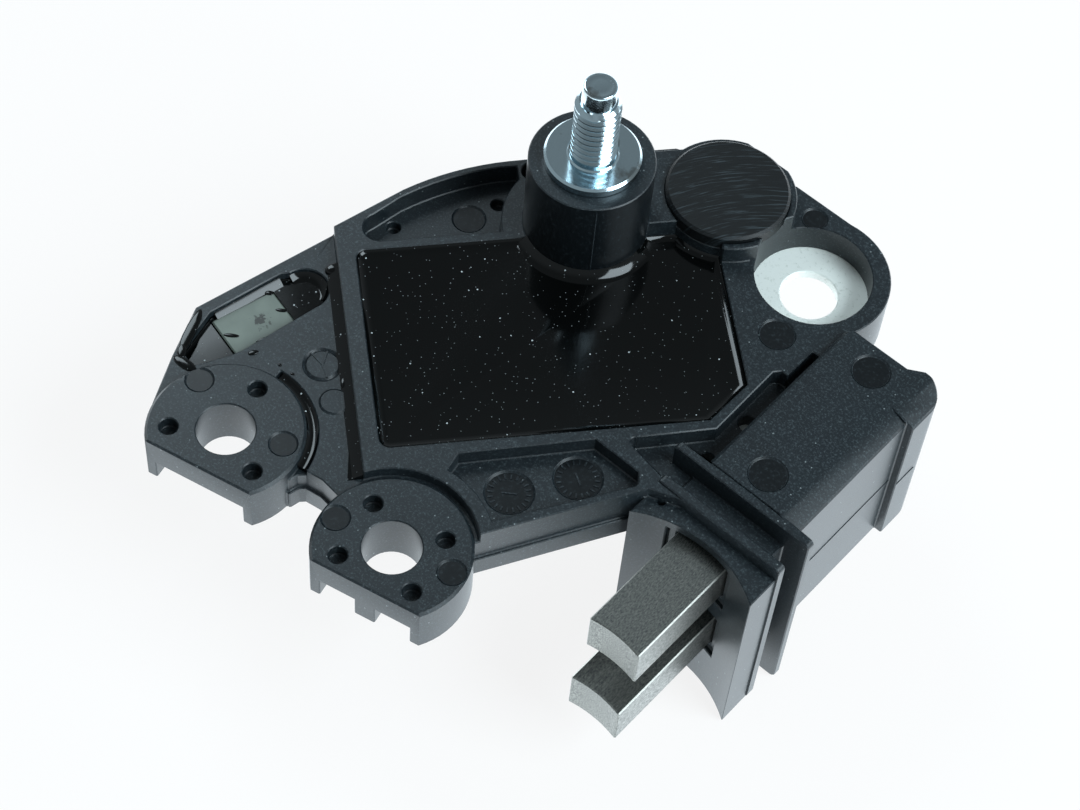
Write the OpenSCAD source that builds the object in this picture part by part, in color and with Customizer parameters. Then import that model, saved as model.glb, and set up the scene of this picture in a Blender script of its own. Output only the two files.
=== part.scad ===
// Alternator voltage regulator with its brush holder.
// The origin is the centre of the front bolt bore on the seat plane, +Z is up out of the potted side,
// and the brushes point along -Y. All lengths are in millimetres.

/* [Plate] */
// Height of the plate and of the pot's rim above the seat
plate_top = 7.1; // [6.9:0.1:7.6]
// How far the left floor lies below the plate
floor_drop = 1.5; // [1.2:0.1:1.8]
// How far the shelf beside the brush box lies below the plate
shelf_drop = 2.3; // [1.8:0.1:2.6]
// Depth of the long pocket behind the pot
rear_pocket_depth = 2.6; // [1.6:0.1:3]
// Depth of the pocket in front of the pot
front_pocket_depth = 2.0; // [1.4:0.1:2.6]
// Wall left between the rear pocket and the curved shoulder
shoulder_wall = 0.8; // [0.6:0.1:1.4]
// Height of the lower tier of the side walls
tier_h = 2.75; // [2:0.05:3.2]
// How far the lower tier stands out
tier_out = 0.35; // [0.2:0.05:0.5]

/* [Bolt bosses] */
// Radius of both bolt bosses
boss_r = 8.35; // [8:0.05:8.7]
// Radius of both bolt bores
bore_r = 3.1; // [2.6:0.1:3.5]
// Distance from each bore to the flat that cuts its boss
boss_flat = 5.4; // [5.1:0.1:6]
// How far the boss tops lie below the plate
boss_drop = 0.8; // [0.5:0.1:1.2]
// Position of the left bore along X
left_boss_x = -22.13; // [-22.4:0.01:-21.9]
// Position of the left bore along Y
left_boss_y = -1.51; // [-1.8:0.01:-1.2]
// Gap between the front boss and the step round it
boss_gap = 0.55; // [0.4:0.05:0.8]
// Depth of the relief under each flat, between the feet
flat_relief = 1.7; // [0.8:0.1:1.8]
// Width of the feet at the ends of each flat
foot_w = 1.1; // [0.8:0.1:2]
// Chamfer round the boss tops
boss_chamfer = 0.3; // [0.1:0.05:0.5]

/* [Pot] */
// Length of the pot
pot_l = 39.3; // [38.9:0.1:39.6]
// Width of the pot
pot_w = 25.5; // [25:0.1:25.8]
// Radius of the pot's corners
pot_corner = 1.2; // [0.6:0.1:2]
// Thickness of the pot's left wall
pot_wall = 2.0; // [1.4:0.1:2.4]
// How far the potting lies below the rim
potting_drop = 0.6; // [0.3:0.1:1.2]
// Thickness of the heat sink in the underside
sink_t = 1.5; // [1.2:0.1:1.6]
// Margin of plastic round the heat sink
sink_margin = 0.8; // [0.5:0.1:1.2]
// Thickness of the ceramic circuit substrate
substrate_t = 0.8; // [0.6:0.05:0.9]
// Thickness of the moulded-in lead strips
lead_t = 0.7; // [0.5:0.05:0.8]
// Width of the moulded-in lead strips
lead_w = 2.0; // [1.4:0.1:2.4]

/* [Side pocket] */
// Thickness of the wall outside the capacitor's pocket
side_wall = 1.25; // [1:0.05:1.5]
// Thickness of the floor under the capacitor's pocket
side_floor = 1.2; // [0.8:0.1:1.6]
// How far the gel lies below the pocket's edge
gel_drop = 1.2; // [0.9:0.1:1.4]
// Length of the capacitor
cap_block_l = 7.6; // [6.4:0.1:7.8]
// Width of the capacitor
cap_block_w = 5.4; // [5:0.1:5.5]
// How far the capacitor stands out of the gel
cap_block_proud = 0.25; // [0.1:0.05:0.5]

/* [Stud] */
// Radius of the stud's boss
stud_boss_r = 6.87; // [6.4:0.01:7.2]
// Height of the stud's boss above the seat
stud_boss_top = 18.0; // [14:0.5:20]
// Outer radius of the stud's thread, M5
stud_r = 2.5; // [2:0.1:3]
// Length of the stud above its collar
stud_free = 10.75; // [8:0.25:14]
// Radius of the collar
collar_r = 5.24; // [4.4:0.02:6]
// Thickness of the collar
collar_t = 1.15; // [0.8:0.05:2]
// Radius of the plain nose at the tip
nose_r = 1.85; // [1.5:0.05:1.95]
// Length of the plain nose
nose_l = 2.3; // [1.5:0.1:3]
// Radius of the stud's moulded-in head
head_r = 4.5; // [3.6:0.1:5.5]
// Thickness of the stud's head
head_t = 2.0; // [1.2:0.1:3]

/* [Well] */
// Height of the ledge and of the well's rim above the seat
ledge_top = 9.4; // [8.8:0.1:10.5]
// Radius of the disc that closes the well
plug_r = 6.9; // [6.3:0.1:7.2]
// Width of the rim round the disc
plug_rim = 0.8; // [0.5:0.1:1.2]
// How far the disc stands above the rim
plug_proud = 0.8; // [0.4:0.1:1.4]
// Depth of the disc's seat below the rim
plug_seat = 1.0; // [0.6:0.1:1.2]
// Width of the step that carries the disc
plug_step = 1.3; // [0.8:0.1:2]

/* [Ring terminal] */
// Outer radius of the lug round the ring terminal
lug_r = 8.5; // [8.3:0.1:8.8]
// Radius of the recess over and under the ring
recess_r = 6.5; // [6:0.1:6.8]
// Radius of the ring's bolt hole
ring_hole_r = 3.2; // [2.6:0.1:4]
// Height of the ring's underside above the seat
ring_z = 2.2; // [2:0.1:2.3]
// Thickness of the ring
ring_t = 1.2; // [1:0.1:1.6]
// How far the ring's rim reaches into the moulding
ring_grip = 0.8; // [0.4:0.1:1.2]

/* [Brush box] */
// Width of the brush box
box_w = 11.8; // [11:0.1:12.2]
// Height of the box's top above the seat
box_top = 8.3; // [7.8:0.1:9]
// Depth of the box's underside below the seat
box_depth = 13.6; // [13.2:0.1:15]
// Thickness of the wall at the inner side of the brush shafts
shaft_wall = 1.4; // [1.3:0.05:1.8]
// Width of the chamfer along the box's outer top edge
box_chamfer = 2.2; // [1:0.1:2.6]

/* [Nose] */
// Thickness of the rear flange
flange_a_t = 1.0; // [0.7:0.1:1.3]
// Thickness of the front flange
flange_b_t = 1.1; // [0.7:0.1:1.3]
// Width of the groove between the flanges
groove_w = 2.8; // [2.4:0.1:3.2]
// Height of the rear flange above the seat
flange_a_top = 8.2; // [7.6:0.1:9]
// Height of the front flange above the seat
flange_b_top = 7.4; // [7:0.1:8]
// Height of the curved saddle above the seat
saddle_top = 5.6; // [5:0.1:6.4]
// Depth of the nose's underside below the seat
nose_depth = 19.7; // [18:0.1:21]
// Radius of the saddle that faces the slip rings
saddle_r = 14.2; // [13.8:0.1:14.6]
// Depth of the lip round each brush window
lip_depth = 0.6; // [0.3:0.1:0.8]
// Width of the lip round each brush window
lip_w = 0.8; // [0.4:0.1:1]

/* [Brushes] */
// Width of each brush along X
brush_w = 6.5; // [6:0.1:6.8]
// Height of each brush along Z
brush_h = 5.5; // [5:0.1:5.7]
// Length of each brush
brush_l = 21; // [18:0.5:22]
// Distance between the two brushes' axes
brush_pitch = 10.1; // [9.6:0.1:10.5]
// Clearance on each side of a brush in its shaft
brush_gap = 0.15; // [0.1:0.05:0.25]
// How far the upper brush reaches out of the saddle at rest
reach_upper = 13.7; // [12:0.1:14]
// How far the lower brush reaches out of the saddle at rest
reach_lower = 15.5; // [14:0.1:15.6]
// Gap left between the slip rings and the saddle
ring_run = 0.4; // [0.2:0.1:0.8]
// Wire diameter of the springs
wire_d = 0.55; // [0.4:0.05:0.7]
// Mean diameter of the springs
coil_d = 4.4; // [3.6:0.1:4.6]
// Turns of each spring
coil_turns = 9; // [6:1:10]
// Diameter of the copper braid behind each brush
braid_d = 1.6; // [1.2:0.1:2]

/* [Hidden] */

$fn = 96;
eps = 0.02;
deep = 60;

// Levels
floor_z = plate_top - floor_drop;
shelf_z = plate_top - shelf_drop;
boss_top = plate_top - boss_drop;
potting_z = plate_top - potting_drop;
substrate_z = sink_t + substrate_t;
lead_top = substrate_z + lead_t;
gel_z = floor_z - gel_drop;
ring_top = ring_z + ring_t;
plug_z = ledge_top - plug_seat;

// Centres of the round features
left_boss = [left_boss_x, left_boss_y];
stud_c = [-12.7, 44.2];
well_c = [-2.96, 56.65];
lug_c = [9.98, 56.05];
well_r = plug_r + plug_rim;
flat_turn = 12.7;

// The pot lies turned, and its own axes carry what is inside it
pot_turn = 49.5;
pot_v = 11.4;
pot_cut_x = 13.8;
floor_end_y = 24.7;
boss_groove_w = 1.2;
groove_depth = 0.8;
stud_u = stud_c[0] * cos(pot_turn) + stud_c[1] * sin(pot_turn);
stud_v = stud_c[1] * cos(pot_turn) - stud_c[0] * sin(pot_turn);
well_u = well_c[0] * cos(pot_turn) + well_c[1] * sin(pot_turn);
well_v = well_c[1] * cos(pot_turn) - well_c[0] * sin(pot_turn);
lug_u = lug_c[0] * cos(pot_turn) + lug_c[1] * sin(pot_turn);
lug_v = lug_c[1] * cos(pot_turn) - lug_c[0] * sin(pot_turn);
ledge_v0 = 35.8;
ledge_v1 = 45.7;
sink_v1 = stud_v - stud_boss_r - 0.3;

// Substrate, from corner to corner in the pot's axes
sub_u0 = 4;
sub_u1 = pot_l - 2.8;
sub_v0 = pot_v + 3.1;
sub_v1 = pot_v + pot_w - 7.4;
chip_size = [8, 7, 1.2];
chip_at = [sub_u0 + 5, sub_v0 + 3.5];
diode_size = [4, 4, 0.8];
diode_at = [sub_u0 + 16, sub_v0 + 2.5];

// Outline of the moulding at the plate, counter-clockwise
shoulder_a = [-23.4, 46.1];
shoulder_b = [-30.1, 33.7];
shoulder_c = [1.08, 24.81];
shoulder_r = norm(shoulder_b - shoulder_c);
rear_y = 64.45;
well_back_y = 63.8;
body_pts = [[-35.8, 7.5], [-33.1, 1.4], [-30.2, -4.3], left_boss, [-13.7, -0.8], [-13.5, 0.2],
            [-12.9, 0.85], [-10.9, 1.2], [-8, 0.9], [0, 0], [5.3, 6], [14.6, 22.8], [17.9, 24.1],
            [17.9, 54], [lug_c[0] + 2, lug_c[1] + 5], [lug_c[0], rear_y], [1, rear_y],
            [0.3, well_back_y], [-6, well_back_y], [-9.4, 60.2], [-12.2, 59.2], shoulder_a, shoulder_b];
// Left edge of the moulding, the line that the capacitor's pocket follows
left_slope = shoulder_b - body_pts[0];
left_in = side_wall * norm(left_slope) / left_slope[1];

// Capacitor's pocket
gel_end = [-29.2, 17.2];
gel_end_r = 2.7;
cap_block_c = [-30.3, 10.8];
cap_block_turn = 76;
cap_lead_v = [pot_v + 15.8, pot_v + 12.2];
cap_lead_w = 1.4;

// Brush box
box_x0 = 17.4;
box_x1 = box_x0 + box_w;
box_y1 = 52.5;
box_step = 0.95;
box_step_y = 47.3;
box_turn_y = 50.5;
box_turn_r = 3;
brush_x = box_x0 + shaft_wall + brush_gap + brush_w / 2;
brush_mid_z = -4.4;
upper_z = brush_mid_z + brush_pitch / 2;
lower_z = brush_mid_z - brush_pitch / 2;
saddle_c = [brush_x + 0.15, 8.4];
saddle_y = saddle_c[1] + saddle_r;
flange_b_y = 24.1;
groove_y = flange_b_y + flange_b_t;
flange_a_y = groove_y + groove_w;
box_y0 = flange_a_y + flange_a_t;
contact_y = 49.6;
contact_grip = 0.4;
lead_skin = 0.4;
tab_upper_y = 37.4;
tab_lower_y = 30.8;
tab_upper_x = 7.5;
tab_lower_x = 6.5;
tip_r = saddle_r - ring_run;
tip_sag = tip_r - sqrt(tip_r * tip_r - brush_w * brush_w / 4);
hole_depth = 4;
braid_gap = 0.06;

// Moves every edge of a counter-clockwise outline outward by g
function edge_out(a, b) = [b[1] - a[1], a[0] - b[0]] / norm(b - a);
function grown(p, g) = [
    for (i = [0:len(p) - 1])
        let (n = len(p),
             e1 = edge_out(p[(i + n - 1) % n], p[i]),
             e2 = edge_out(p[i], p[(i + 1) % n]))
        p[i] + g * (e1 + e2) / (1 + e1 * e2)
];

module at(p, z = 0) {
    translate([p[0], p[1], z]) children();
}

module in_pot() {
    rotate([0, 0, pot_turn]) children();
}

// A strip lying along the pot's axes at the leads' level
module strip(u0, u1, v0, v1) {
    in_pot() translate([u0, v0, substrate_z]) cube([u1 - u0, v1 - v0, lead_t]);
}

// A rectangle with true round corners
module rounded(l, w, r) {
    translate([r, 0]) square([l - 2 * r, w]);
    translate([0, r]) square([l, w - 2 * r]);
    for (x = [r, l - r], y = [r, w - r])
        translate([x, y]) circle(r);
}

// The plate's outline, with its straight edges moved out by g
module plate_outline(g = 0) {
    polygon(grown(body_pts, g));
    translate(lug_c) circle(lug_r);
    intersection() {
        translate(shoulder_c) circle(shoulder_r);
        polygon([shoulder_b, shoulder_a, [-29.4, 41.3]]);
    }
}

// A bolt boss with a chamfer round its top
module boss(p) {
    at(p) cylinder(h = boss_top - boss_chamfer, r = boss_r);
    at(p, boss_top - boss_chamfer)
        cylinder(h = boss_chamfer, r1 = boss_r, r2 = boss_r - boss_chamfer);
}

// What the flat cuts off a boss, with the slighter chamfer along its top edge
module boss_cut(p) {
    c = 0.7 * boss_chamfer;
    at(p) rotate([0, 0, flat_turn]) rotate([90, 0, -90]) translate([0, 0, -boss_r])
        linear_extrude(2 * boss_r)
            polygon([[boss_flat, -1], [2 * boss_r, -1], [2 * boss_r, boss_top + 1],
                     [boss_flat - c - 1, boss_top + 1],
                     [boss_flat, boss_top - c]]);
}

// The hollow under a boss's flat, between the feet; tab is the width of a middle foot
module flat_hollow(p, tab) {
    half = sqrt(boss_r * boss_r - boss_flat * boss_flat);
    w = half - foot_w - tab / 2;
    at(p) rotate([0, 0, flat_turn])
        for (s = tab > 0 ? [-1, 1] : [0])
            translate([s * (tab + w) / 2 - (s == 0 ? w : w / 2), -boss_flat - 3, -1])
                cube([s == 0 ? 2 * w : w, 3 + flat_relief, tier_h + 1]);
}

// The low floor, which ends at the pot's left wall and at a step across the left edge
module left_floor() {
    intersection() {
        in_pot() translate([-pot_wall - deep, -deep]) square([deep, 2 * deep]);
        translate([-deep, floor_end_y - deep]) square([deep, deep]);
    }
}

// The groove for gel round the right side of the left boss
module boss_groove() {
    at(left_boss, floor_z - groove_depth) intersection() {
        cylinder(h = deep, r = boss_r + boss_groove_w);
        linear_extrude(deep) polygon([[0, 0], [40, -6], [40, 40], [-6, 40]]);
    }
}

module pot_outline(inset = 0) {
    intersection() {
        in_pot() translate([inset, pot_v + inset])
            rounded(pot_l - 2 * inset, pot_w - 2 * inset, pot_corner);
        translate([pot_cut_x - inset - deep, -deep / 2]) square([deep, 2 * deep]);
    }
}

// The pot as it stands open round the stud's boss, the ledge and the well
module pot_space() {
    difference() {
        pot_outline();
        translate(stud_c) circle(stud_boss_r);
        translate(well_c) circle(plug_r);
        ledge_outline();
    }
}

module ledge_outline() {
    in_pot() translate([stud_u, ledge_v0]) square([well_u - stud_u, ledge_v1 - ledge_v0]);
}

// The long pocket behind the pot, between the shoulder and the stud's boss
module rear_pocket() {
    difference() {
        intersection() {
            in_pot() union() {
                polygon([[3, 37.9], [19, 37.9], [19, 46.8], [10.5, 46.8], [2.4, 41.6]]);
                translate([3, 39.8]) circle(1.9);
            }
            translate(shoulder_c) circle(shoulder_r - shoulder_wall);
        }
        translate(stud_c) circle(stud_boss_r + 2.33);
    }
}

// The pocket in front of the pot, hollowed round the front boss
module front_pocket() {
    difference() {
        polygon([[-2.4, 12.5], [-1.4, 7.9], [4.6, 7.3], [13.4, 22.1], [13.4, 22.6],
                 [12.5, 23.6], [6.7, 23.6]]);
        circle(boss_r + 2.05);
    }
}

module side_pocket() {
    polygon([body_pts[0] + [left_in + 0.25, 0.6], [-32.9, 2.6], [-30.6, 2.0], [-28.9, 5.4],
             [-28.3, 7.0], gel_end + [gel_end_r, 0], gel_end,
             gel_end + [-gel_end_r, 0.4],
             body_pts[0] + left_slope * 0.36 + [left_in, 0]]);
    translate(gel_end) circle(gel_end_r);
}

// The shelf and the channel beside the brush box
module shelf_outline() {
    polygon([[9.8, 25.6], [14.9, 24.8], [box_x0 + 0.5, 24.8], [box_x0 + 0.5, 48], [16.2, 48],
             [16.2, 43.7], [15.4, 43.7], [14.8, 43], [15, 33.3], [9.7, 26.8]]);
    translate([9.95, 26.2]) circle(0.6);
}

// Small round marks of the mould: position, level, radius, depth
marks = [
    [[-28.46, 0.92], boss_top, 1.48, 0.15], [[-16.58, 1.28], boss_top, 1.48, 0.15],
    [[-6.51, -1.41], boss_top, 1.48, 0.15], [[6.37, 1.98], boss_top, 1.48, 0.15],
    [[12.07, 47.08], plate_top, 1.96, 0.15], [[5.31, 62.2], plate_top, 1.42, 0.15],
    [[brush_x + 0.5, 49.47], box_top, 2.08, 0.15], [[brush_x + 0.6, 31.9], box_top, 2.08, 0.15],
    [[-23.4, 37.2], plate_top - rear_pocket_depth, 1.84, 0.15],
    [[3.79, 13.54], plate_top - front_pocket_depth, 2.6, 0.2],
    [[7.81, 19.72], plate_top - front_pocket_depth, 2.6, 0.2],
    [[-28.6, 30.5], plate_top - rear_pocket_depth, 0.8, 1.2],
    [[-22.4, 40.9], plate_top - rear_pocket_depth, 0.8, 1.2]
];
// Pin holes in the boss tops: centre of the boss, distance, angles
pin_hole_r = 1.0;
pin_hole_depth = 1.5;
pin_holes = [
    [[0, 0], 5.5, [153.5, 52.7, 232.7, -25.8]],
    [left_boss, 5.9, [101.5, 220.3, 342.6]]
];

module mould_marks() {
    for (m = marks)
        at(m[0], m[1] - m[3]) cylinder(h = m[3] + 1, r = m[2]);
    for (p = pin_holes, a = p[2])
        at(p[0] + p[1] * [cos(a), sin(a)], boss_top - pin_hole_depth)
            cylinder(h = deep, r = pin_hole_r);
    at([-20.89, 11.48], floor_z - 0.2) difference() {
        cylinder(h = 1, r = 2.04);
        translate([0, 0, -1]) cylinder(h = 3, r = 1.79);
    }
    at([-21.6, 45.5], plate_top - rear_pocket_depth) cylinder(h = deep, r = 1.2);
}

// The box across, seen along the brushes
module box_profile(x1) {
    polygon([[box_x0, -box_depth], [x1, -box_depth], [x1, box_top - 1.2], [x1 - 0.2, box_top - 0.9],
             [x1 - box_chamfer, box_top], [box_x0 + 0.4, box_top], [box_x0, box_top - 0.4]]);
}

module along_y(y0, y1) {
    translate([0, y1, 0]) rotate([90, 0, 0]) linear_extrude(y1 - y0) children();
}

// The box in plan: the wide rear block, the stepped rear wall and its round corner
module box_plan() {
    x2 = box_x1 + box_step;
    x3 = x2 - box_turn_r;
    y3 = box_turn_y + box_turn_r;
    polygon([[box_x0, box_y0], [box_x1, box_y0], [box_x1, box_step_y], [x2, box_step_y],
             [x2, box_turn_y], [x3, box_turn_y], [x3, y3], [x3 - 0.2, y3], [x3 - 1.9, box_y1],
             [box_x0 + 0.8, box_y1], [box_x0, box_y1 - 0.8]]);
    intersection() {
        translate([x3, box_turn_y]) circle(box_turn_r);
        translate([x3, box_turn_y]) square(box_turn_r + 1);
    }
}

module brush_box() {
    intersection() {
        union() {
            along_y(box_y0 - eps, box_step_y) box_profile(box_x1);
            along_y(box_step_y - eps, box_y1 + 1.5) box_profile(box_x1 + box_step);
        }
        translate([0, 0, -deep / 2]) linear_extrude(deep) union() {
            box_plan();
            translate([box_x0, box_y0 - eps]) square([box_w, 1]);
        }
    }
}

// A flange across the nose with small round corners
module flange(x0, x1, y0, t, top) {
    along_y(y0, y0 + t) translate([x0, -nose_depth]) rounded(x1 - x0, nose_depth + top, 0.6);
}

module nose() {
    flange(brush_x - 8.7, brush_x + 9.1, flange_a_y, flange_a_t, flange_a_top);
    flange(brush_x - 7.6, brush_x + 8.5, flange_b_y, flange_b_t, flange_b_top);
    translate([brush_x - 5.8, groove_y - eps, -nose_depth + 4])
        cube([12, groove_w + 2 * eps, nose_depth + 1.2]);
    translate([0, 0, -nose_depth]) linear_extrude(nose_depth + saddle_top) difference() {
        translate([brush_x - 7.8, saddle_c[1] + 11.7]) square([16.1, flange_b_y - saddle_c[1] - 11.6]);
        translate(saddle_c) circle(saddle_r);
        translate([brush_x - 6.2, flange_b_y - 0.75]) circle(0.5);
    }
}

// The shaft of one brush, open at the saddle, with the lip round its window
module shaft(z) {
    w = brush_w + 2 * brush_gap;
    h = brush_h + 2 * brush_gap;
    translate([brush_x - w / 2, saddle_c[1], z - h / 2])
        cube([w, contact_y - saddle_c[1], h]);
    intersection() {
        translate([brush_x - w / 2 - lip_w, saddle_c[1], z - h / 2 - lip_w])
            cube([w + 2 * lip_w, deep, h + 2 * lip_w]);
        at(saddle_c, -deep / 2) cylinder(h = deep, r = saddle_r + lip_depth);
    }
}

// Strip from the circuit to the plate behind one brush; tab_y is where it leaves the pot
module field_lead(z, tab_y, tab_x) {
    x0 = box_x0 + lead_skin;
    w = brush_w + 2 * brush_gap;
    h = brush_h + 2 * brush_gap;
    translate([tab_x, tab_y - lead_w / 2, substrate_z])
        cube([x0 + lead_t - tab_x, lead_w, lead_t]);
    translate([x0, tab_y - lead_w / 2, z - lead_w / 2])
        cube([lead_t, lead_w, lead_top - z + lead_w / 2]);
    translate([x0, tab_y - lead_w / 2, z - lead_w / 2])
        cube([lead_t, contact_y - tab_y + lead_w / 2 + lead_t, lead_w]);
    translate([x0, contact_y, z - h / 2 - contact_grip])
        cube([brush_x + w / 2 + contact_grip - x0, lead_t, h + 2 * contact_grip]);
}

module phase_strip() {
    strip(sub_u1 - lead_w, well_u + lead_w / 2, well_v - lead_w / 2, well_v + lead_w / 2);
    strip(sub_u1 - lead_w, sub_u1, sub_v1 - 1.5, well_v + lead_w / 2);
    at(well_c, lead_top) cylinder(h = 1.8, r = 1.5);
}

module ring_body() {
    at(lug_c, ring_z) cylinder(h = ring_t, r = recess_r + ring_grip);
    strip(sub_u1 - 5.5, lug_u - 2, lug_v - 6.8, lug_v - 6.8 + lead_w);
}

module stud_profile() {
    z0 = lead_top;
    z1 = stud_boss_top;
    z2 = z1 + collar_t;
    z3 = z2 + stud_free;
    at(stud_c) rotate_extrude() polygon([
        [0, z0], [head_r, z0], [head_r, z0 + head_t], [stud_r, z0 + head_t], [stud_r, z1],
        [collar_r, z1], [collar_r, z2 - 0.25], [collar_r - 0.25, z2], [stud_r + 0.35, z2],
        [stud_r, z2 + 0.35], [stud_r, z3 - nose_l - 0.5], [nose_r, z3 - nose_l], [nose_r, z3 - 0.4],
        [nose_r - 0.4, z3], [0, z3]]);
}

module stud_strip() {
    strip(stud_u - lead_w / 2, stud_u + lead_w / 2, sub_v1 - 2, stud_v + lead_w);
}

module plug_body() {
    at(well_c, plug_z) cylinder(h = plug_seat + plug_proud - 0.3, r = plug_r);
    at(well_c, ledge_top + plug_proud - 0.3) cylinder(h = 0.3, r1 = plug_r, r2 = plug_r - 0.3);
    at(well_c, plug_z - 3) cylinder(h = 3 + eps, r = plug_r - plug_step);
}

module cap_block() {
    at(cap_block_c, side_floor + 0.6) rotate([0, 0, cap_block_turn])
        translate([-cap_block_l / 2, -cap_block_w / 2, 0])
            cube([cap_block_l, cap_block_w, gel_z + cap_block_proud - side_floor - 0.6]);
}

// Strip from the circuit to the capacitor, cut where it meets the capacitor's side
module cap_strip(i) {
    difference() {
        strip(-9.5, sub_u0 + 2, cap_lead_v[i], cap_lead_v[i] + cap_lead_w);
        cap_block();
    }
}

module sink_body() {
    intersection() {
        linear_extrude(sink_t) pot_outline(sink_margin);
        in_pot() translate([0, 0, -1]) cube([pot_l, sink_v1, sink_t + 2]);
    }
}

// The one-piece moulding
module housing() {
    color("#343e41") difference() {
        union() {
            difference() {
                union() {
                    linear_extrude(plate_top) plate_outline();
                    linear_extrude(tier_h) plate_outline(tier_out);
                }
                // Left floor, lower than the plate
                translate([0, 0, floor_z]) linear_extrude(deep) left_floor();
                boss_groove();
                // Step round the front boss
                translate([0, 0, floor_z]) cylinder(h = deep, r = boss_r + boss_gap);
                // Pockets
                translate([0, 0, plate_top - rear_pocket_depth]) linear_extrude(deep) rear_pocket();
                translate([0, 0, plate_top - front_pocket_depth]) linear_extrude(deep) front_pocket();
                translate([0, 0, side_floor]) linear_extrude(deep) side_pocket();
                translate([0, 0, shelf_z]) linear_extrude(deep) shelf_outline();
            }
            boss([0, 0]);
            boss(left_boss);
            at([-16.71, 8.94]) cylinder(h = floor_z + 0.15, r = 1.54);
            // Stud's boss, ledge and well
            at(stud_c) cylinder(h = stud_boss_top, r = stud_boss_r);
            linear_extrude(ledge_top) ledge_outline();
            intersection() {
                at(well_c) cylinder(h = ledge_top, r = well_r);
                translate([-deep / 2, 0, 0]) cube([deep, well_back_y, deep]);
            }
            brush_box();
            nose();
        }
        // Pot, which also cuts through the rim of the well
        translate([0, 0, sink_t]) linear_extrude(deep) pot_space();
        for (p = [[0, 0], left_boss]) {
            at(p, -1) cylinder(h = deep, r = bore_r);
            boss_cut(p);
        }
        flat_hollow([0, 0], 2.4);
        flat_hollow(left_boss, 0);
        mould_marks();
        // Holes over the field leads
        for (p = [[16.19, tab_upper_y], [16.05, tab_lower_y]])
            at(p, lead_top) cylinder(h = deep, r = 1);
        // Recess over and under the ring terminal
        at(lug_c, ring_top) cylinder(h = deep, r = recess_r);
        at(lug_c, -1) cylinder(h = ring_z + 1, r = recess_r);
        // Seats of the pieces that are moulded in
        ring_body();
        sink_body();
        stud_profile();
        stud_strip();
        plug_body();
        cap_block();
        at(well_c, lead_top + 1) cylinder(h = plug_z - lead_top - 1, r = plug_r - plug_step);
        phase_strip();
        for (i = [0, 1])
            cap_strip(i);
        field_lead(upper_z, tab_upper_y, tab_upper_x);
        field_lead(lower_z, tab_lower_y, tab_lower_x);
        shaft(upper_z);
        shaft(lower_z);
    }
}

module main_potting() {
    color("#131719") difference() {
        translate([0, 0, sink_t]) linear_extrude(potting_z - sink_t) pot_space();
        circuit_substrate();
        regulator_chip();
        freewheel_diode();
        ring_body();
        stud_strip();
        phase_strip();
        for (i = [0, 1])
            cap_strip(i);
        field_lead(upper_z, tab_upper_y, tab_upper_x);
        field_lead(lower_z, tab_lower_y, tab_lower_x);
    }
}

module side_potting() {
    color("#171918") difference() {
        translate([0, 0, side_floor]) linear_extrude(gel_z - side_floor) side_pocket();
        cap_block();
        for (i = [0, 1])
            cap_strip(i);
    }
}

module side_capacitor() {
    color("#6b716c") cap_block();
}

module capacitor_lead_a() {
    color("#b4c0bb") cap_strip(0);
}

module capacitor_lead_b() {
    color("#b4c0bb") cap_strip(1);
}

module heat_sink() {
    color("#a9adaf") sink_body();
}

module circuit_substrate() {
    color("#d9d6cb") in_pot() translate([sub_u0, sub_v0, sink_t])
        cube([sub_u1 - sub_u0, sub_v1 - sub_v0, substrate_t]);
}

module regulator_chip() {
    color("#23262a") in_pot() translate([chip_at[0], chip_at[1], substrate_z]) cube(chip_size);
}

module freewheel_diode() {
    color("#3b3f42") in_pot() translate([diode_at[0], diode_at[1], substrate_z]) cube(diode_size);
}

module terminal_stud() {
    color("#7e979e") stud_profile();
}

module stud_lead() {
    color("#b4c0bb") stud_strip();
}

module ground_ring() {
    color("#c8d2cd") difference() {
        ring_body();
        at(lug_c, -1) cylinder(h = deep, r = ring_hole_r);
    }
}

module well_plug() {
    color("#20282c") plug_body();
}

module phase_terminal() {
    color("#b4c0bb") phase_strip();
}

module field_lead_upper() {
    color("#b4c0bb") field_lead(upper_z, tab_upper_y, tab_upper_x);
}

module field_lead_lower() {
    color("#b4c0bb") field_lead(lower_z, tab_lower_y, tab_lower_x);
}

// A carbon brush with a hollow end to suit the slip ring and a hole for its braid
module brush(z, reach) {
    y0 = saddle_y - reach;
    color("#5b6060") difference() {
        translate([brush_x - brush_w / 2, y0, z - brush_h / 2]) cube([brush_w, brush_l, brush_h]);
        translate([brush_x, y0 + tip_sag - tip_r, z - deep / 2]) cylinder(h = deep, r = tip_r);
        translate([brush_x, y0 + brush_l + 1, z]) rotate([90, 0, 0])
            cylinder(h = hole_depth + 1, r = braid_d / 2 + braid_gap);
    }
}

module brush_upper() {
    brush(upper_z, reach_upper);
}

module brush_lower() {
    brush(lower_z, reach_lower);
}

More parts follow.
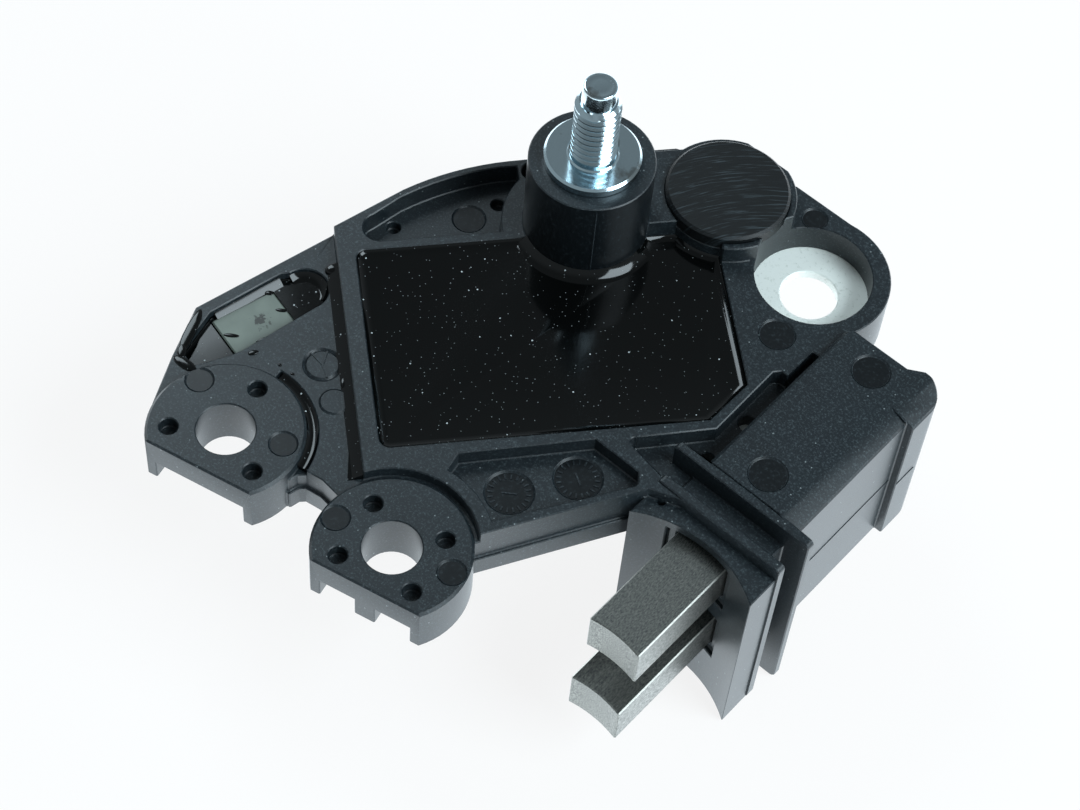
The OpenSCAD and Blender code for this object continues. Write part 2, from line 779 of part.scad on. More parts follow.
// A coil spring between a brush and the plate behind it, with a flat turn at each end
module coil(z, reach) {
    y0 = saddle_y - reach + brush_l + braid_gap;
    y1 = contact_y;
    steps = 14;
    sides = 6;
    n = steps * coil_turns;
    end_pitch = wire_d * 1.15;
    free = coil_turns - 2;
    pitch = (y1 - y0 - wire_d - 2 * end_pitch) / free;
    points = [
        for (i = [0:n], j = [0:sides - 1])
            let (a = 360 * i / steps,
                 b = 360 * j / sides,
                 s = i / steps,
                 y = end_pitch * (min(s, 1) + max(s - coil_turns + 1, 0))
                     + pitch * min(max(s - 1, 0), free),
                 r = coil_d / 2 + wire_d / 2 * cos(b))
            [r * cos(a), y0 + wire_d / 2 + y + wire_d / 2 * sin(b), r * sin(a)]
    ];
    skin = [
        for (i = [0:n - 1], j = [0:sides - 1])
            [i * sides + j, (i + 1) * sides + j,
             (i + 1) * sides + (j + 1) % sides, i * sides + (j + 1) % sides]
    ];
    ends = [[for (j = [0:sides - 1]) j], [for (j = [0:sides - 1]) n * sides + sides - 1 - j]];
    color("#9a9c98") translate([brush_x, 0, z]) polyhedron(points, concat(skin, ends));
}

module spring_upper() {
    coil(upper_z, reach_upper);
}

module spring_lower() {
    coil(lower_z, reach_lower);
}

// The braid that carries the current from a brush to its plate
module braid(z, reach) {
    y0 = saddle_y - reach + brush_l - hole_depth + braid_gap;
    color("#b06a3c") translate([brush_x, contact_y, z]) rotate([90, 0, 0])
        cylinder(h = contact_y - y0, r = braid_d / 2);
}

module pigtail_upper() {
    braid(upper_z, reach_upper);
}

module pigtail_lower() {
    braid(lower_z, reach_lower);
}

housing();
main_potting();
side_potting();
side_capacitor();
capacitor_lead_a();
capacitor_lead_b();
heat_sink();
circuit_substrate();
regulator_chip();
freewheel_diode();
terminal_stud();
stud_lead();
ground_ring();
well_plug();
phase_terminal();
field_lead_upper();
field_lead_lower();
brush_upper();
brush_lower();
spring_upper();
spring_lower();
pigtail_upper();
pigtail_lower();
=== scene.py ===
# %% [markdown]
# # An alternator voltage regulator with its brush holder
# The real object is one black moulding that carries everything else: a pot filled with gel over
# the circuit, a steel stud, a ring terminal and two spring-loaded brushes in a flanged nose.
# The solids come from the CAD frame. Here each one gets its edges, its small marks and its finish.

from math import cos, hypot, radians, sin

import bpy
from mathutils import Matrix, Vector


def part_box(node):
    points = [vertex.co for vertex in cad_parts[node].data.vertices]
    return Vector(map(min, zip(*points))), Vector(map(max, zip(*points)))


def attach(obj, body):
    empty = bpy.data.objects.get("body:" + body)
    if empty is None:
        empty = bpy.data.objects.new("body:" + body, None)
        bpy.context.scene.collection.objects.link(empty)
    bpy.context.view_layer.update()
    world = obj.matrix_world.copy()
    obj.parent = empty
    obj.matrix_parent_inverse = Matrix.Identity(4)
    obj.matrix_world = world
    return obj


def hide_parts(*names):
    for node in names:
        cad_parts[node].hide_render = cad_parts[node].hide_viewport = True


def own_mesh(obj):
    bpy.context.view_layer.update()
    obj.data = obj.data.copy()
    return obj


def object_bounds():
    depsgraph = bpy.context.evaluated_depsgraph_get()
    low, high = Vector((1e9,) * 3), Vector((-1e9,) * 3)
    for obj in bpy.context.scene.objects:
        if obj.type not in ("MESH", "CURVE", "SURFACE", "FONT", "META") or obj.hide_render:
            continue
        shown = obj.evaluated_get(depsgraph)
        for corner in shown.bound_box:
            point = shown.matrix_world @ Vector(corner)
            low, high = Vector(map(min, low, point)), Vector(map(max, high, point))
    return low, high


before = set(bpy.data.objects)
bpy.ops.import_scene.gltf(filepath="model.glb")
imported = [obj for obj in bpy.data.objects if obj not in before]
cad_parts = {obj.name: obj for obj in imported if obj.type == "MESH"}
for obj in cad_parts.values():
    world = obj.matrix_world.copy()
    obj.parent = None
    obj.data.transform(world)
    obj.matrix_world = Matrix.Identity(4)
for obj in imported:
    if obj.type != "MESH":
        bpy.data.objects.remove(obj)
cad_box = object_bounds()
mm = 0.001
print("CAD box in mm:", [round(v / mm, 1) for corner in cad_box for v in corner])

# %% [markdown]
# ## The camera
# The photograph looks down at 56 degrees with a long lens, and is tilted by almost six degrees.
# From 27 cm away that lens gives the same slight perspective, so the stud's shaft leans right.

# %% Camera at the photograph's angle
target = Vector((-0.61, 23.18, 6.28)) * mm
distance, lens, near_clip = 273.98, 87.27, 10
azimuth, elevation, roll = radians(36.7), radians(56.18), radians(5.84)
back = Vector((sin(azimuth) * cos(elevation), -cos(azimuth) * cos(elevation), sin(elevation)))
camera = bpy.data.objects.new("camera", bpy.data.cameras.new("camera"))
camera.data.lens = lens
camera.data.clip_start = near_clip * mm
camera.location = target + back * distance * mm
level_camera = (-back).to_track_quat("-Z", "Y").to_matrix()
camera.rotation_euler = (level_camera @ Matrix.Rotation(roll, 3, "Z")).to_euler()
bpy.context.scene.collection.objects.link(camera)
bpy.context.scene.camera = camera
bpy.context.scene.view_settings.view_transform = "Standard"
print("camera at", [round(v / mm, 1) for v in camera.location], "mm")

# %% [markdown]
# ## Colours and nodes
# Colours are written as they are picked, in sRGB, and one function turns them to linear light.
# A second function adds a node: it takes the sockets to fill or to link, then the node's settings.
# A Mix node's sockets go by number, because its factor, 0, and its two colours, 6 and 7, share
# their names with the sockets for plain numbers.

# %% Two helpers for colour and nodes
def colour(code):
    """An sRGB hex colour as linear red, green, blue and a full alpha."""
    parts = [int(code[i:i + 2], 16) / 255 for i in (1, 3, 5)]
    linear = [p / 12.92 if p <= 0.04045 else ((p + 0.055) / 1.055) ** 2.4 for p in parts]
    return (*linear, 1.0)


def add(tree, kind, sockets=(), **settings):
    """A shader node with its settings, and its sockets filled or linked."""
    made = tree.nodes.new("ShaderNode" + kind)
    for name, value in settings.items():
        setattr(made, name, value)
    for name, value in dict(sockets).items():
        if isinstance(value, bpy.types.NodeSocket):
            tree.links.new(value, made.inputs[name])
        else:
            made.inputs[name].default_value = value
    return made


print("black moulding #2b3235 in linear light:", [round(v, 3) for v in colour("#2b3235")])

# %% [markdown]
# ## The studio
# A black part shows its shape only by what it reflects. It stands on a floor that is bright to
# every ray but the camera's, so the upright walls mirror it and look grey. The room overhead is
# dim, so the level gel looks black. The camera itself sees white, and a soft shadow on the floor.

# %% World
level_light, overhead_light = 0.45, 0.24
world = bpy.data.worlds.new("studio")
world.use_nodes = True
bpy.context.scene.world = world
tree = world.node_tree
tree.nodes.clear()
direction = add(tree, "TexCoord")
height = add(tree, "SeparateXYZ", {0: direction.outputs["Generated"]})
ceiling = add(tree, "MapRange", {"Value": height.outputs["Z"], "From Min": 0.55, "From Max": 0.8,
                                 "To Min": level_light, "To Max": overhead_light})
room = add(tree, "Background", {"Color": colour("#dbe8ee"), "Strength": ceiling.outputs[0]})
white = add(tree, "Background", {"Color": colour("#ffffff"), "Strength": 1.0})
ray = add(tree, "LightPath")
sky = add(tree, "MixShader", {0: ray.outputs["Is Camera Ray"], 1: room.outputs[0],
                              2: white.outputs[0]})
add(tree, "OutputWorld", {"Surface": sky.outputs[0]})
print("world nodes:", len(tree.nodes))

# %% Floor
# The glow is white at a strength of 1 to the camera, and bluer and stronger to what it lights.
# The rest of the mix is matt paper, which keeps the shadow.
floor_light, floor_size, white_glow, lit_glow = 2.75, 4, 0.85, 0.9
floor_level = cad_box[0][2] - 0.3 * mm
bpy.ops.object.select_all(action="DESELECT")
bpy.ops.mesh.primitive_plane_add(size=floor_size, location=(0, 0, floor_level))
floor = bpy.context.object
floor.name = "floor"
paper = bpy.data.materials.new("white_studio_paper")
paper.use_nodes = True
tree = paper.node_tree
tree.nodes.clear()
matt = add(tree, "BsdfDiffuse", {"Color": colour("#f2f3f3")})
ray = add(tree, "LightPath")
power = add(tree, "MapRange", {"Value": ray.outputs["Is Camera Ray"], "To Min": floor_light,
                               "To Max": 1.0})
light = add(tree, "Mix", {0: ray.outputs["Is Camera Ray"], 6: colour("#e3edf3"),
                          7: colour("#ffffff")}, data_type="RGBA")
glow = add(tree, "Emission", {"Color": light.outputs[2], "Strength": power.outputs[0]})
share = add(tree, "MapRange", {"Value": ray.outputs["Is Camera Ray"], "To Min": lit_glow,
                               "To Max": white_glow})
surface = add(tree, "MixShader", {0: share.outputs[0], 1: matt.outputs[0], 2: glow.outputs[0]})
add(tree, "OutputMaterial", {"Surface": surface.outputs[0]})
floor.data.materials.append(paper)
print("floor at", round(floor_level / mm, 1), "mm")

# %% Lamps
def softbox(name, place, size, power):
    """A square area lamp at a place in millimetres, pointed at the middle of the part."""
    aim = Vector((0, 25, 0)) * mm
    lamp = bpy.data.objects.new(name, bpy.data.lights.new(name, "AREA"))
    lamp.data.size = size * mm
    lamp.data.energy = power
    lamp.data.color = colour("#dcecf4")[:3]
    lamp.location = Vector(place) * mm
    lamp.rotation_euler = (aim - lamp.location).to_track_quat("-Z", "Y").to_euler()
    bpy.context.scene.collection.objects.link(lamp)


softbox("key_left", (-420, 160, 420), size=260, power=1.6)
softbox("fill_right", (409, 100, 381), size=340, power=3.9)

# %% [markdown]
# ## Finishes
# Every material reads Object coordinates in metres, so a pattern's scale is one over its real size.

# %% A start for every material
def start_material(name):
    """A new material, its empty node tree, and the Object coordinates that its patterns read."""
    material = bpy.data.materials.new(name)
    material.use_nodes = True
    material.node_tree.nodes.clear()
    place = add(material.node_tree, "TexCoord").outputs["Object"]
    return material, material.node_tree, place


print("pattern scale for 1 mm:", round(1 / mm))

# %% [markdown]
# ### Glass-filled nylon
# The housing is moulded in black glass-filled nylon. The spark-eroded mould leaves a fine grain,
# short glass fibres near the skin make it slightly cloudy, and packing dust sits on it as pale
# specks. The eye gets a soft blue-grey sheen and no deep black.

# %% Moulded black nylon
nylon, tree, place = start_material("moulded_black_nylon")
cloud = add(tree, "TexNoise", {"Vector": place, "Scale": 1 / (5 * mm), "Detail": 3.0})
tint = add(tree, "Mix", {0: cloud.outputs[0], 6: colour("#0f1519"), 7: colour("#1a2227")},
           data_type="RGBA")
# Fibre ends are far finer than this: they are drawn 0.25 mm wide so that they show
fibre = add(tree, "TexNoise", {"Vector": place, "Scale": 1 / (0.25 * mm), "Detail": 4.0,
                               "Roughness": 0.8})
fleck = add(tree, "MapRange", {"Value": fibre.outputs[0], "From Min": 0.52, "From Max": 0.68,
                               "To Max": 0.65})
flecked = add(tree, "Mix", {0: fleck.outputs[0], 6: tint.outputs[2], 7: colour("#4d585c")},
              data_type="RGBA")
dust = add(tree, "TexVoronoi", {"Vector": place, "Scale": 1 / (1.3 * mm)})
speck = add(tree, "MapRange", {"Value": dust.outputs["Distance"], "From Min": 0.045,
                               "From Max": 0.08, "To Min": 0.7, "To Max": 0.0})
dusty = add(tree, "Mix", {0: speck.outputs[0], 6: flecked.outputs[2], 7: colour("#8b9496")},
            data_type="RGBA")
sheen = add(tree, "MapRange", {"Value": fibre.outputs[0], "To Min": 0.3, "To Max": 0.5})
grain = add(tree, "Bump", {"Height": fibre.outputs[0], "Strength": 0.35, "Distance": 0.02 * mm})
skin = add(tree, "BsdfPrincipled", {"Base Color": dusty.outputs[2], "Roughness": sheen.outputs[0],
                                    "IOR": 1.53, "Specular IOR Level": 0.42,
                                    "Normal": grain.outputs[0]})
add(tree, "OutputMaterial", {"Surface": skin.outputs[0]})
print("moulded_black_nylon:", len(tree.nodes), "nodes")

# %% [markdown]
# ### Polished nylon
# The ends of the mould's ejector pins and the cavity that forms the stud's boss are polished, so
# the round marks and the boss's side are smoother and darker than the grained plastic round them.

# %% Polished nylon
pin_mark, tree, place = start_material("polished_pin_mark")
scuff = add(tree, "TexNoise", {"Vector": place, "Scale": 1 / (0.4 * mm), "Detail": 5.0,
                               "Roughness": 0.7})
rub = add(tree, "MapRange", {"Value": scuff.outputs[0], "From Min": 0.55, "From Max": 0.75,
                             "To Max": 0.6})
tone = add(tree, "Mix", {0: rub.outputs[0], 6: colour("#0a0f12"), 7: colour("#333d42")},
           data_type="RGBA")
sheen = add(tree, "MapRange", {"Value": scuff.outputs[0], "To Min": 0.2, "To Max": 0.45})
skin = add(tree, "BsdfPrincipled", {"Base Color": tone.outputs[2], "Roughness": sheen.outputs[0],
                                    "IOR": 1.53, "Specular IOR Level": 0.35})
add(tree, "OutputMaterial", {"Surface": skin.outputs[0]})
print("polished_pin_mark:", len(tree.nodes), "nodes")

# %% [markdown]
# ### Potting gel
# A soft silicone gel, poured in and cured. It is level and glossy, so it mirrors the dim room,
# and dust that settled while it cured stays on it as white points.

# %% Cured black gel
gel, tree, place = start_material("cured_black_gel")
fine = add(tree, "TexVoronoi", {"Vector": place, "Scale": 1 / (0.6 * mm)})
coarse = add(tree, "TexVoronoi", {"Vector": place, "Scale": 1 / (1.7 * mm)})
fine_speck = add(tree, "MapRange", {"Value": fine.outputs["Distance"], "From Min": 0.06,
                                    "From Max": 0.12, "To Min": 0.35, "To Max": 0.0})
big_speck = add(tree, "MapRange", {"Value": coarse.outputs["Distance"], "From Min": 0.04,
                                   "From Max": 0.065, "To Min": 1.0, "To Max": 0.0})
specks = add(tree, "Math", {0: fine_speck.outputs[0], 1: big_speck.outputs[0]}, operation="MAXIMUM")
tone = add(tree, "Mix", {0: specks.outputs[0], 6: colour("#040505"), 7: colour("#b4bcbe")},
           data_type="RGBA")
gloss = add(tree, "MapRange", {"Value": specks.outputs[0], "To Min": 0.09, "To Max": 0.6})
swell = add(tree, "TexNoise", {"Vector": place, "Scale": 1 / (7 * mm), "Detail": 1.0})
wave = add(tree, "Bump", {"Height": swell.outputs[0], "Strength": 0.25, "Distance": 0.15 * mm})
skin = add(tree, "BsdfPrincipled", {"Base Color": tone.outputs[2], "Roughness": gloss.outputs[0],
                                    "IOR": 1.41, "Normal": wave.outputs[0]})
add(tree, "OutputMaterial", {"Surface": skin.outputs[0]})
print("cured_black_gel:", len(tree.nodes), "nodes")

# %% [markdown]
# ### Zinc-plated steel
# The stud is bright zinc over steel with a pale blue passivation. Plating follows every mark, and
# handling leaves brownish smears on the collar, so the eye gets a sharp blue shine with dull spots.

# %% Blue zinc plating
zinc, tree, place = start_material("blue_zinc_plated_steel")
patch = add(tree, "TexNoise", {"Vector": place, "Scale": 1 / (3 * mm), "Detail": 3.0})
smear = add(tree, "MapRange", {"Value": patch.outputs[0], "From Min": 0.58, "From Max": 0.66,
                               "To Max": 0.6})
tone = add(tree, "Mix", {0: smear.outputs[0], 6: colour("#c3d6de"), 7: colour("#6f6a62")},
           data_type="RGBA")
crystal = add(tree, "TexNoise", {"Vector": place, "Scale": 1 / (0.15 * mm), "Detail": 3.0})
gloss = add(tree, "MapRange", {"Value": crystal.outputs[0], "To Min": 0.08, "To Max": 0.22})
pits = add(tree, "Bump", {"Height": crystal.outputs[0], "Strength": 0.12, "Distance": 0.01 * mm})
metal = add(tree, "BsdfPrincipled", {"Base Color": tone.outputs[2], "Metallic": 1.0,
                                     "Roughness": gloss.outputs[0], "Normal": pits.outputs[0]})
add(tree, "OutputMaterial", {"Surface": metal.outputs[0]})
print("blue_zinc_plated_steel:", len(tree.nodes), "nodes")

# %% [markdown]
# ### Tinned brass
# The ring terminal and the moulded-in strips are brass with a dull coat of tin. Its fine crystals
# scatter the light, so it is drawn with little metal in it: the eye gets a matt, almost white face
# with grey freckles where it has been touched.

# %% Dull tin over brass
tin, tree, place = start_material("dull_tinned_brass")
freckle = add(tree, "TexNoise", {"Vector": place, "Scale": 1 / (0.5 * mm), "Detail": 5.0,
                                 "Roughness": 0.7})
touch = add(tree, "MapRange", {"Value": freckle.outputs[0], "From Min": 0.55, "From Max": 0.7,
                               "To Max": 0.7})
tone = add(tree, "Mix", {0: touch.outputs[0], 6: colour("#f4f8f2"), 7: colour("#c9cfc5")},
           data_type="RGBA")
gloss = add(tree, "MapRange", {"Value": freckle.outputs[0], "To Min": 0.45, "To Max": 0.65})
pits = add(tree, "Bump", {"Height": freckle.outputs[0], "Strength": 0.2, "Distance": 0.01 * mm})
metal = add(tree, "BsdfPrincipled", {"Base Color": tone.outputs[2], "Metallic": 0.1,
                                     "Roughness": gloss.outputs[0], "Normal": pits.outputs[0]})
add(tree, "OutputMaterial", {"Surface": metal.outputs[0]})
print("dull_tinned_brass:", len(tree.nodes), "nodes")

# %% [markdown]
# ### Brush carbon
# The brushes are pressed from copper and graphite powder and ground to size. The ground faces
# sparkle with metal grains between dark graphite, so they look like dark speckled metal. An edge
# that is broken by hand gets a small flat, which is painted near-white as a painted highlight line.

# %% Pressed copper graphite
carbon, tree, place = start_material("pressed_copper_graphite")
# Grinding draws the grains out along the brush
drawn = add(tree, "Mapping", {"Vector": place, "Scale": (1, 0.35, 1)})
powder = add(tree, "TexNoise", {"Vector": drawn.outputs[0], "Scale": 1 / (0.13 * mm),
                                "Detail": 5.0, "Roughness": 0.7})
sparkle = add(tree, "MapRange", {"Value": powder.outputs[0], "From Min": 0.36, "From Max": 0.7})
tone = add(tree, "Mix", {0: sparkle.outputs[0], 6: colour("#4b4d4d"), 7: colour("#9c9d97")},
           data_type="RGBA")
gloss = add(tree, "MapRange", {"Value": sparkle.outputs[0], "To Min": 0.5, "To Max": 0.3})
pores = add(tree, "Bump", {"Height": powder.outputs[0], "Strength": 0.35, "Distance": 0.015 * mm})
metal = add(tree, "BsdfPrincipled", {"Base Color": tone.outputs[2], "Metallic": 0.9,
                                     "Roughness": gloss.outputs[0], "Normal": pores.outputs[0]})
add(tree, "OutputMaterial", {"Surface": metal.outputs[0]})
print("pressed_copper_graphite:", len(tree.nodes), "nodes")

# %% Painted highlight on the broken edges
# The near-white colour is a painted highlight along the brushes' broken edges, varied a little by
# noise
edge_highlight, tree, place = start_material("painted_highlight_brush_edge")
highlight_variation = add(tree, "TexNoise", {"Vector": place, "Scale": 1 / (0.3 * mm), "Detail": 3.0})
tone = add(tree, "Mix", {0: highlight_variation.outputs[0], 6: colour("#b9b9b2"), 7: colour("#e6e6df")},
           data_type="RGBA")
metal = add(tree, "BsdfPrincipled", {"Base Color": tone.outputs[2], "Metallic": 0.8,
                                     "Roughness": 0.4})
add(tree, "OutputMaterial", {"Surface": metal.outputs[0]})
print("painted_highlight_brush_edge:", len(tree.nodes), "nodes")

# %% [markdown]
# ## Modelling helpers
# An operator works on what is selected, so three helpers keep the selection exact. Two more move
# and turn it: with no window the operator turns the other way, so the angle changes its sign.

# %% Selecting, moving and turning
def pick(piece):
    """Leaves edit mode, then makes a piece the only selected object and the active one."""
    if bpy.context.mode != "OBJECT":
        bpy.ops.object.mode_set(mode="OBJECT")
    bpy.ops.object.select_all(action="DESELECT")
    piece.select_set(True)
    bpy.context.view_layer.objects.active = piece


def edit_all(piece):
    """Enters edit mode with all of a piece selected."""
    pick(piece)
    bpy.ops.object.mode_set(mode="EDIT")
    bpy.ops.mesh.select_all(action="SELECT")


def edit_where(piece, kind, test):
    """Enters edit mode with only the points, edges or faces selected that pass a test in mm."""
    pick(piece)
    bpy.ops.object.mode_set(mode="EDIT")
    bpy.ops.mesh.select_mode(type=kind)
    bpy.ops.mesh.select_all(action="DESELECT")
    bpy.ops.object.mode_set(mode="OBJECT")
    points = piece.data.vertices
    if kind == "VERT":
        chosen = [v for v in points if test(v.co / mm)]
    elif kind == "EDGE":
        chosen = [e for e in piece.data.edges if all(test(points[i].co / mm) for i in e.vertices)]
    else:
        chosen = [f for f in piece.data.polygons if test(f.center / mm, f.normal)]
    for part in chosen:
        part.select = True
    bpy.ops.object.mode_set(mode="EDIT")
    return len(chosen)


def move(x, y, z):
    """Moves what is selected, in millimetres."""
    bpy.ops.transform.translate(value=(x * mm, y * mm, z * mm))


def turn(degrees, axis="Z", centre=(0, 0, 0)):
    """Turns what is selected about an axis through a point in millimetres."""
    bpy.ops.transform.rotate(value=-radians(degrees), orient_axis=axis,
                             center_override=[v * mm for v in centre])


print("CAD solids to start from:", len(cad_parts))

# %% [markdown]
# A CAD solid's mesh is loose triangles, so a copy of it is merged to clean flat faces. A new shape
# is closed when its last edit is done. Real edges are never quite sharp: a small flat is cut along
# each. A finished piece gets its material, and a second one on some faces, rides on its body and
# stands for its solid.

# %% Copying a solid and closing a shape
def copy_node(node, name, flat=True):
    """A copy of a CAD node that a piece can start from, merged, and to flat faces if asked."""
    piece = bpy.data.objects.new(name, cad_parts[node].data.copy())
    bpy.context.scene.collection.objects.link(piece)
    edit_all(piece)
    bpy.ops.mesh.remove_doubles(threshold=0.002 * mm)
    bpy.ops.mesh.customdata_custom_splitnormals_clear()
    if flat:
        bpy.ops.mesh.dissolve_limited(angle_limit=radians(0.5))
    bpy.ops.object.mode_set(mode="OBJECT")
    piece.data.materials.clear()
    return piece


def close_up(smooth_below=None):
    """Turns all faces outwards and leaves edit mode, with edges smooth below an angle if asked."""
    bpy.ops.mesh.select_all(action="SELECT")
    bpy.ops.mesh.normals_make_consistent(inside=False)
    bpy.ops.object.mode_set(mode="OBJECT")
    if smooth_below:
        bpy.ops.object.shade_smooth_by_angle(angle=radians(smooth_below))


print("triangles in the housing's solid:", len(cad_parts["housing"].data.polygons))

# %% Breaking edges
sharp_angle = 60


def break_edges(piece, width, leave=None):
    """Cuts a small flat along each sharp edge, but leaves an edge if an end of it passes a test."""
    pick(piece)
    bpy.ops.object.mode_set(mode="EDIT")
    bpy.ops.mesh.select_mode(type="EDGE")
    bpy.ops.mesh.select_all(action="DESELECT")
    bpy.ops.mesh.edges_select_sharp(sharpness=radians(sharp_angle))
    bpy.ops.object.mode_set(mode="OBJECT")
    points = piece.data.vertices
    for edge in piece.data.edges:
        if edge.select and leave and any(leave(points[i].co / mm) for i in edge.vertices):
            edge.select = False
    bpy.ops.object.mode_set(mode="EDIT")
    bpy.ops.mesh.bevel(offset=width * mm, segments=1, clamp_overlap=False, loop_slide=False)
    bpy.ops.object.mode_set(mode="OBJECT")
    bpy.ops.object.shade_smooth_by_angle(angle=radians(30))


print("edges are broken where they turn by more than", sharp_angle, "degrees")

# %% Joining and finishing
def join(parts, main):
    """Joins pieces into a main one, which keeps its name."""
    pick(main)
    for part in parts:
        part.select_set(True)
    bpy.ops.object.join()


def finish_piece(piece, material, body, node=None, accent=None, where=None):
    """Gives a piece its material, an accent where a test passes, its body and its CAD node."""
    piece.data.materials.clear()
    piece.data.materials.append(material)
    if accent:
        piece.data.materials.append(accent)
        for face in piece.data.polygons:
            face.material_index = int(bool(where(face.center / mm, face.normal)))
    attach(piece, body)
    if node:
        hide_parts(node)
    size = tuple(round(d / mm, 1) for d in piece.dimensions)
    print(f"{piece.name}: {len(piece.data.polygons)} faces, {size} mm")


# %% [markdown]
# ## The moulding
# A mould cutter leaves no edge truly sharp. The CAD solid has the right form, so a copy of it is
# merged and its edges are broken by 0.12 mm, which is enough to catch a thin line of light.

# %% Housing with its edges broken
saddle_end, shelf_level = -19, 3
housing = copy_node("housing", "moulded_housing", flat=False)


def thin_corner(c):
    """Where the solid runs out to a point or to a slot's corner, too thin to be broken."""
    saddle_tip = c.z < saddle_end and c.y < 25
    shelf_slot = abs(c.z - shelf_level) < 0.1 and 12 < c.x < 21 and 22 < c.y < 39
    return saddle_tip or shelf_slot


break_edges(housing, 0.12, leave=thin_corner)
print("housing with broken edges:", len(housing.data.polygons), "faces")

# %% [markdown]
# Thin lines stand on the moulding where the mould was cut or parted: three arms in the ring mark,
# a dial of ticks with a pointer in each disc of the front pocket, and parting lines on the box
# and the stud's boss. Each is a thin bar half sunk in the surface.

# %% Bars
def bar(start, end, width):
    """A square bar between two points in millimetres."""
    start, end = Vector(start), Vector(end)
    bpy.ops.object.select_all(action="DESELECT")
    bpy.ops.mesh.primitive_cube_add(size=1, location=(start + end) / 2 * mm)
    made = bpy.context.object
    made.scale = (width * mm, width * mm, (end - start).length * mm)
    made.rotation_euler = (end - start).to_track_quat("Z", "Y").to_euler()
    bpy.ops.object.transform_apply(location=True, rotation=True, scale=True)
    return made


def spoke(centre, level, angle, near, far, width):
    """A bar lying level, along a ray from a centre."""
    ray_x, ray_y = cos(radians(angle)), sin(radians(angle))
    return bar((centre[0] + near * ray_x, centre[1] + near * ray_y, level),
               (centre[0] + far * ray_x, centre[1] + far * ray_y, level), width)


plate_floor, dial_floor, ring_mark = 5.6, 4.9, (-20.89, 11.48)
lines = [spoke(ring_mark, plate_floor, angle, 0, 1.8, 0.18) for angle in (172, 117, -28)]
print("arms in the ring mark:", len(lines))

# %% Dials
ticks = 20
for dial, pointer in (((3.79, 13.54), 35), ((7.81, 19.72), -31)):
    lines.append(spoke(dial, dial_floor, pointer, -0.8, 0.8, 0.16))
    tick = spoke(dial, dial_floor, 0, 1.75, 2.3, 0.16)
    edit_all(tick)
    for copy in range(ticks - 1):
        bpy.ops.mesh.duplicate()
        turn(-360 / ticks, centre=(*dial, 0))
    bpy.ops.object.mode_set(mode="OBJECT")
    lines.append(tick)
print("ticks in a dial:", len(tick.data.polygons) // 6)

# %% Parting lines, and the moulding's finish
parting, stud_axis, boss_foot, boss_side = -3.5, (-12.7, 44.2), 6.6, 6.85
lines.append(bar((29.2, 27.6, parting), (29.2, 47.2, parting), 0.14))
lines.append(bar((30.15, 47.4, parting), (30.15, 50.4, parting), 0.14))
seam_turn, seam_reach = radians(-45), 6.87
seam = (stud_axis[0] + seam_reach * cos(seam_turn), stud_axis[1] + seam_reach * sin(seam_turn))
lines.append(bar((*seam, boss_foot), (*seam, 17.4), 0.12))
join(lines, housing)


def from_axis(c):
    """How far a point lies from the stud's axis."""
    return hypot(c.x - stud_axis[0], c.y - stud_axis[1])


def polished(c, n):
    """Faces at the few levels where only the round marks lie, and the side of the stud's boss."""
    mark_levels = (4.35, dial_floor, 6.15, 6.95, 8.15)
    mark = n.z > 0.99 and any(abs(c.z - level) < 0.03 for level in mark_levels)
    side = abs(n.z) < 0.3 and c.z > boss_foot and abs(from_axis(c) - boss_side) < 0.06
    return mark or side


finish_piece(housing, nylon, "regulator", "housing", accent=pin_mark, where=polished)
print("polished faces:", sum(face.material_index for face in housing.data.polygons))

# %% [markdown]
# ## Gel in the pot
# Gel wets the wall, so its surface climbs at every edge and lies level in the middle. The top face
# of the CAD solid is lifted, then inset a few times, each inset a little lower than the last.

# %% Gel surfaces
def wet_edges(piece, level, rise, steps):
    """Curves the top face of a gel down from where it touches the wall: steps are (width, drop)."""
    found = edit_where(piece, "FACE", lambda c, n: n.z > 0.99 and abs(c.z - level) < 0.05)
    move(0, 0, rise)
    for width, fall in steps:
        bpy.ops.mesh.inset(thickness=width * mm, depth=-fall * mm, use_even_offset=True)
    bpy.ops.object.mode_set(mode="OBJECT")
    bpy.ops.object.shade_smooth_by_angle(angle=radians(40))
    print(f"top faces of {piece.name}: {found}")


pot_gel = copy_node("main_potting", "pot_gel")
pot_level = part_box("main_potting")[1][2] / mm
wet_edges(pot_gel, pot_level, 0.5, ((0.15, 0.2), (0.2, 0.14), (0.25, 0.09), (0.3, 0.05)))
finish_piece(pot_gel, gel, "regulator", "main_potting")

side_gel = copy_node("side_potting", "side_gel")
side_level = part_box("side_potting")[1][2] / mm
wet_edges(side_gel, side_level, 0.2, ((0.05, 0.12), (0.07, 0.07)))
finish_piece(side_gel, gel, "regulator", "side_potting")

# %% [markdown]
# Against a wall the gel climbs higher, in a sloping bead that catches the light. A bar is laid
# along the foot of the wall and cut by planes, each a little steeper, so that it rounds off to its
# toe. The planes lie close together, so the cut merges only points that are nearer than a micron.

# %% Beads of gel along two walls
def gel_bead(name, foot, head, level, away, bulk, cuts):
    """A bar of gel along a wall, cut to a bead: cuts are (reach from the wall, slope)."""
    foot, away = Vector((*foot, level)), Vector((*away, 0)).normalized()
    made = bar(foot, (*head, level), bulk)
    made.name = name
    planes = [(foot, -away)]
    for reach, slope in cuts:
        lean = away * sin(radians(slope)) + Vector((0, 0, cos(radians(slope))))
        planes.append((foot + away * reach, lean))
    edit_all(made)
    for point, outward in planes:
        bpy.ops.mesh.select_all(action="SELECT")
        bpy.ops.mesh.bisect(plane_co=point * mm, plane_no=outward, clear_outer=True, use_fill=True,
                            threshold=0.001 * mm)
    close_up(smooth_below=30)
    finish_piece(made, gel, "regulator")


